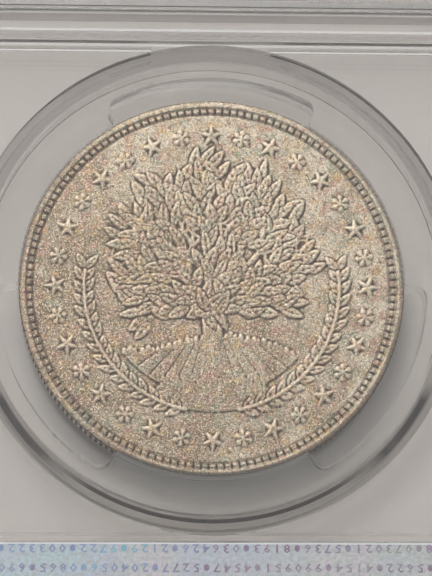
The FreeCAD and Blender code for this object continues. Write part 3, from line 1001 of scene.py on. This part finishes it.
def film_ink():
    """Spectral print whose colour drifts from lavender blue to cyan, pink and green along the rows."""
    material, tree = new_material("spectral_print")
    where = place_of(tree)
    drift = noise(tree, stretched(tree, where, 1.0, 2.4, 1.0), 70, 2, 0.5, 0.4)
    colour = ramp(tree, drift, (0.30, (0.13, 0.36, 0.48)), (0.42, (0.15, 0.19, 0.40)),
                  (0.50, (0.18, 0.18, 0.35)), (0.57, (0.17, 0.09, 0.18)), (0.64, (0.24, 0.15, 0.26)),
                  (0.74, (0.22, 0.32, 0.17)))
    fade = noise(tree, where, 900, 3, 0.6)
    faded = mix(tree, spread(tree, fade, 0.35, 0.75, 0.0, 0.4), colour, (0.45, 0.48, 0.54))
    close_solid(tree, faded, 0.4, Metallic=0.2)
    return material


def card_paper(settings):
    """Smooth label card with a faint fibre."""
    material, tree = new_material("label_card_paper")
    fibre = noise(tree, stretched(tree, place_of(tree), 1.0, 0.3, 1.0), 2400, 4, 0.65)
    colour = mix(tree, spread(tree, fibre), dimmed(settings.card_colour, 0.93), settings.card_colour)
    close_solid(tree, colour, spread(tree, fibre, 0.3, 0.7, 0.5, 0.65),
                Normal=bump(tree, fibre, 0.15, 0.03 * MM))
    return material


def card_ink(settings):
    """Slightly uneven printing ink."""
    material, tree = new_material("card_ink")
    density = noise(tree, place_of(tree), 3800, 3, 0.6)
    thin_ink = [part + 0.07 for part in settings.ink_colour]
    colour = mix(tree, spread(tree, density, 0.35, 0.75, 0.0, 0.5), settings.ink_colour, thin_ink)
    close_solid(tree, colour, spread(tree, density, 0.3, 0.7, 0.35, 0.5))
    return material


def foil_surface():
    """Embossed foil: fine rings and broad wavy ones that break the light into colours."""
    material, tree = new_material("embossed_foil")
    middle = (PATCH_LOW + PATCH_HIGH) / 2
    near = add(tree, "Mapping", {"Vector": place_of(tree), "Location": -middle}).outputs[0]

    def waves(inputs):
        return add(tree, "TexWave", {"Vector": near, **inputs}, wave_type="RINGS",
                   rings_direction="Z").outputs["Fac"]

    rings = waves({"Scale": 900.0, "Distortion": 0.0})
    wide = waves({"Scale": 42.0, "Distortion": 3.0, "Detail": 2.0, "Detail Scale": 1.5})
    colour = ramp(tree, wide, (0.0, (0.55, 0.35, 0.60)), (0.25, (0.35, 0.48, 0.72)),
                  (0.5, (0.38, 0.66, 0.58)), (0.75, (0.68, 0.66, 0.38)), (1.0, (0.70, 0.46, 0.40)))
    fine = mix(tree, spread(tree, rings, 0.2, 0.8, 0.0, 0.6), colour, (0.72, 0.73, 0.75))
    close_solid(tree, fine, spread(tree, wide, 0.0, 1.0, 0.22, 0.34), Metallic=1.0,
                Normal=bump(tree, rings, 0.3, 0.03 * MM))
    return material


class OBJECT_OT_holder_label(bpy.types.Operator):
    """Finish the card, film and foil, and print both sides of the label"""

    bl_idname = "object.holder_label"
    bl_label = "Label, film and prints"

    def execute(self, context):
        settings = context.scene.label
        finish_node("label_card", card_paper(settings))
        finish_node("security_film", film_surface(settings))
        finish_node("hologram_patch", foil_surface())
        self.print_film(settings)
        self.print_card(settings)
        return {"FINISHED"}

    def print_film(self, settings):
        """Rows of small figures over the film, read from the label's outer edge."""
        height, pitch, thickness = settings.figure_height, settings.figure_pitch, settings.ink_thickness
        figures = [figure_mesh(str(digit), height, thickness, 1, weight=0.02, widen=1.2)
                   for digit in range(10)]
        stop = mark_mesh(height * STOP_SHARE, thickness)
        chance = random.Random(FIGURES_SEED)
        low, high = FILM_LOW / MM, FILM_HIGH / MM
        patch_low, patch_high = PATCH_LOW / MM, PATCH_HIGH / MM
        level = high.z + thickness / 2 + INK_GAP
        turned = Matrix.Rotation(pi, 4, "Z") @ Matrix.Scale(MM, 4)
        parts = []
        row, top = 0, high.y - 0.02
        while top - height > low.y + 0.4:
            beside_patch = patch_low.y - 0.3 < top and top - height < patch_high.y + 0.3
            x, group = high.x - 0.5 + (row % 3) * ROW_SHIFT * pitch, row
            while x - pitch > low.x + PRINT_MARGIN:
                for number in range(GROUP_LENGTHS[group % 3]):
                    x -= pitch * (1.0 if number else 1.06)
                    mesh, lean = (figures[chance.randrange(10)], 0.78) if number else (stop, 0.42)
                    inside = low.x + PRINT_MARGIN < x and x + pitch < high.x - PRINT_MARGIN
                    over_patch = beside_patch and patch_low.x - 0.4 < x + pitch and x < patch_high.x + 0.4
                    if inside and not over_patch:
                        spot = Vector((x + lean * pitch, top, level)) * MM
                        parts.append((mesh, Matrix.Translation(spot) @ turned))
                group += 1
            top -= settings.row_pitch
            row += 1
        settle(gather("film_print", parts), "film_print", film_ink(), "holder")

    def print_card(self, settings):
        """Plain figures, bars and rules on the card's front."""
        thickness = settings.ink_thickness
        low, high = CARD_LOW / MM, CARD_HIGH / MM
        level = low.z - thickness / 2 - INK_GAP
        turned = Matrix.Rotation(pi, 4, "X") @ Matrix.Scale(MM, 4)
        parts = []

        def rule(x, y, wide, tall):
            deselect()
            bpy.ops.mesh.primitive_cube_add(size=1, location=(x * MM, y * MM, level * MM),
                                            scale=(wide * MM, tall * MM, thickness * MM))
            bpy.ops.object.transform_apply(location=True, rotation=True, scale=True)
            parts.append((lift_mesh(), Matrix.Identity(4)))

        left, right = low.x + 3.0, high.x - 3.0
        outer, inner = low.y + 1.6, high.y - 1.6
        for y in (outer, inner):
            rule((low.x + high.x) / 2, y, right - left + 1.0, 0.35)
        for text, height, x, y in (
                ("1", 3.0, left + 0.5, outer + 4.2), ("38.1", 2.0, left + 3.6, outer + 4.2),
                ("26.7", 2.0, left + 3.6, outer + 7.6), ("64", 6.0, right - 10.5, outer + 8.2),
                ("204 1836 50", 2.0, left + 0.5, inner - 1.6),
                ("7 204 118 365", 1.3, right - 14.0, inner - 1.6)):
            spot = Vector((x, y, level)) * MM
            parts.append((figure_mesh(text, height, thickness, 3), Matrix.Translation(spot) @ turned))
        chance = random.Random(BARS_SEED)
        x = left + 14.5
        while x < right - 15:
            wide = chance.choice((0.18, 0.18, 0.36, 0.54))
            rule(x + wide / 2, outer + 5.2, wide, 5.0)
            x += wide + chance.choice((0.2, 0.2, 0.4, 0.55))
        settle(gather("card_print", parts), "card_print", card_ink(settings), "holder")


# ---------------- studio

LAMP_PLACE, LAMP_SIZE = Vector((-0.17, 0.53, 0.80)), (0.46, 0.40)
BRIGHTEST_SKY = (-0.19, 0.52, 0.83)  # direction
FLOOR_GAP = 0.0002
SENSOR_WIDTH = 36  # millimetres
IMAGE_SHIFT = (0.0097, -0.0024)  # share of the width of the view


def floor_surface(settings):
    """Plain matt floor."""
    material, tree = new_material("studio_floor")
    cloud = noise(tree, place_of(tree), 9, 2)
    colour = mix(tree, spread(tree, cloud), settings.floor_colour, dimmed(settings.floor_colour, 0.97))
    close_solid(tree, colour, 0.85)
    return material


def soft_lamp(radiance):
    """A large rectangular lamp aimed at the holder, which clear plastic mirrors but doesn't show through."""
    lamp = bpy.data.lights.new("soft_box", "AREA")
    lamp.shape = "RECTANGLE"
    lamp.size, lamp.size_y = LAMP_SIZE
    lamp.energy = radiance * pi * LAMP_SIZE[0] * LAMP_SIZE[1]
    stand = bpy.data.objects.new("soft_box", lamp)
    bpy.context.collection.objects.link(stand)
    stand.location = LAMP_PLACE
    stand.visible_transmission = False
    stand.rotation_euler = (-LAMP_PLACE).to_track_quat("-Z", "Y").to_euler()


def make_sky(strength):
    """Pale room light, brightest overhead and behind the coin end."""
    world = bpy.data.worlds.new("studio_room")
    bpy.context.scene.world = world
    world.use_nodes = True
    tree = world.node_tree
    tree.nodes.clear()
    direction = add(tree, "TexCoord").outputs["Generated"]
    toward = add(tree, "VectorMath", {0: direction, 1: BRIGHTEST_SKY}, operation="DOT_PRODUCT")
    colour = ramp(tree, spread(tree, toward.outputs["Value"], -1.0, 1.0), (0.30, (0.10, 0.097, 0.095)),
                  (0.62, (0.30, 0.297, 0.293)), (0.80, (0.56, 0.555, 0.55)), (0.98, (0.82, 0.815, 0.81)))
    backdrop = add(tree, "Background", {"Color": colour, "Strength": strength})
    add(tree, "OutputWorld", {"Surface": backdrop.outputs[0]})


class OBJECT_OT_holder_stage(bpy.types.Operator):
    """Set the floor, the soft lamp, the room light and the camera"""

    bl_idname = "object.holder_stage"
    bl_label = "Studio and camera"

    def execute(self, context):
        settings = context.scene.studio
        deselect()
        bpy.ops.mesh.primitive_plane_add(size=2.0, location=(0, 0, -FLOOR_GAP))
        floor = context.object
        bpy.ops.object.transform_apply(location=True)
        floor.name = "studio_floor"
        floor.data.materials.append(floor_surface(settings))
        make_sky(settings.sky_strength)
        soft_lamp(settings.lamp_strength)

        target = Vector((COIN_MIDDLE.x, COIN_MIDDLE.y, COIN_HIGH.z))
        tilt, side = settings.camera_height, settings.camera_side
        away = Vector((-sin(side), -cos(side) * cos(tilt), cos(side) * sin(tilt)))
        right = Vector((0, 1, 0)).cross(away).normalized()
        up = away.cross(right)
        roll = settings.camera_roll
        right, up = right * cos(roll) + up * sin(roll), up * cos(roll) - right * sin(roll)
        camera = bpy.data.cameras.new("studio_camera")
        stand = bpy.data.objects.new("studio_camera", camera)
        context.collection.objects.link(stand)
        stand.location = target + away * settings.camera_distance
        stand.rotation_euler = Matrix((right, up, away)).transposed().to_euler()
        camera.sensor_fit = "HORIZONTAL"
        camera.sensor_width = SENSOR_WIDTH
        camera.lens = SENSOR_WIDTH * settings.camera_distance / settings.frame_width
        camera.shift_x, camera.shift_y = IMAGE_SHIFT
        context.scene.camera = stand
        context.scene.view_settings.view_transform = "Standard"
        return {"FINISHED"}


# ---------------- panel and registration


class VIEW3D_PT_holder(bpy.types.Panel):
    """Settings and pieces of the coin holder"""

    bl_label = "Coin holder"
    bl_space_type = "VIEW_3D"
    bl_region_type = "UI"
    bl_category = "Holder"

    def draw(self, context):
        for title, name, group, operator in GROUPS:
            box = self.layout.box()
            box.label(text=title)
            for setting in group.__annotations__:
                box.prop(getattr(context.scene, name), setting)
            box.operator(operator)


GROUPS = (("Shells", "holder", HolderSettings, "object.holder_shells"),
          ("Gasket", "gasket", GasketSettings, "object.holder_gasket"),
          ("Coin", "coin", CoinSettings, "object.holder_coin"),
          ("Label", "label", LabelSettings, "object.holder_label"),
          ("Studio", "studio", StudioSettings, "object.holder_stage"))
CLASSES = (HolderSettings, GasketSettings, CoinSettings, LabelSettings, StudioSettings,
           OBJECT_OT_holder_shells, OBJECT_OT_holder_gasket, OBJECT_OT_holder_coin, OBJECT_OT_holder_label,
           OBJECT_OT_holder_stage, VIEW3D_PT_holder)


def register():
    for kind in CLASSES:
        bpy.utils.register_class(kind)
    for _, name, group, _ in GROUPS:
        setattr(bpy.types.Scene, name, bpy.props.PointerProperty(type=group))


def unregister():
    for _, name, _, _ in GROUPS:
        delattr(bpy.types.Scene, name)
    for kind in reversed(CLASSES):
        bpy.utils.unregister_class(kind)


def main():
    """Build every piece in order."""
    register()
    bpy.ops.object.holder_shells()
    bpy.ops.object.holder_gasket()
    bpy.ops.object.holder_coin()
    bpy.ops.object.holder_label()
    bpy.ops.object.holder_stage()


if __name__ == "__main__":
    main()
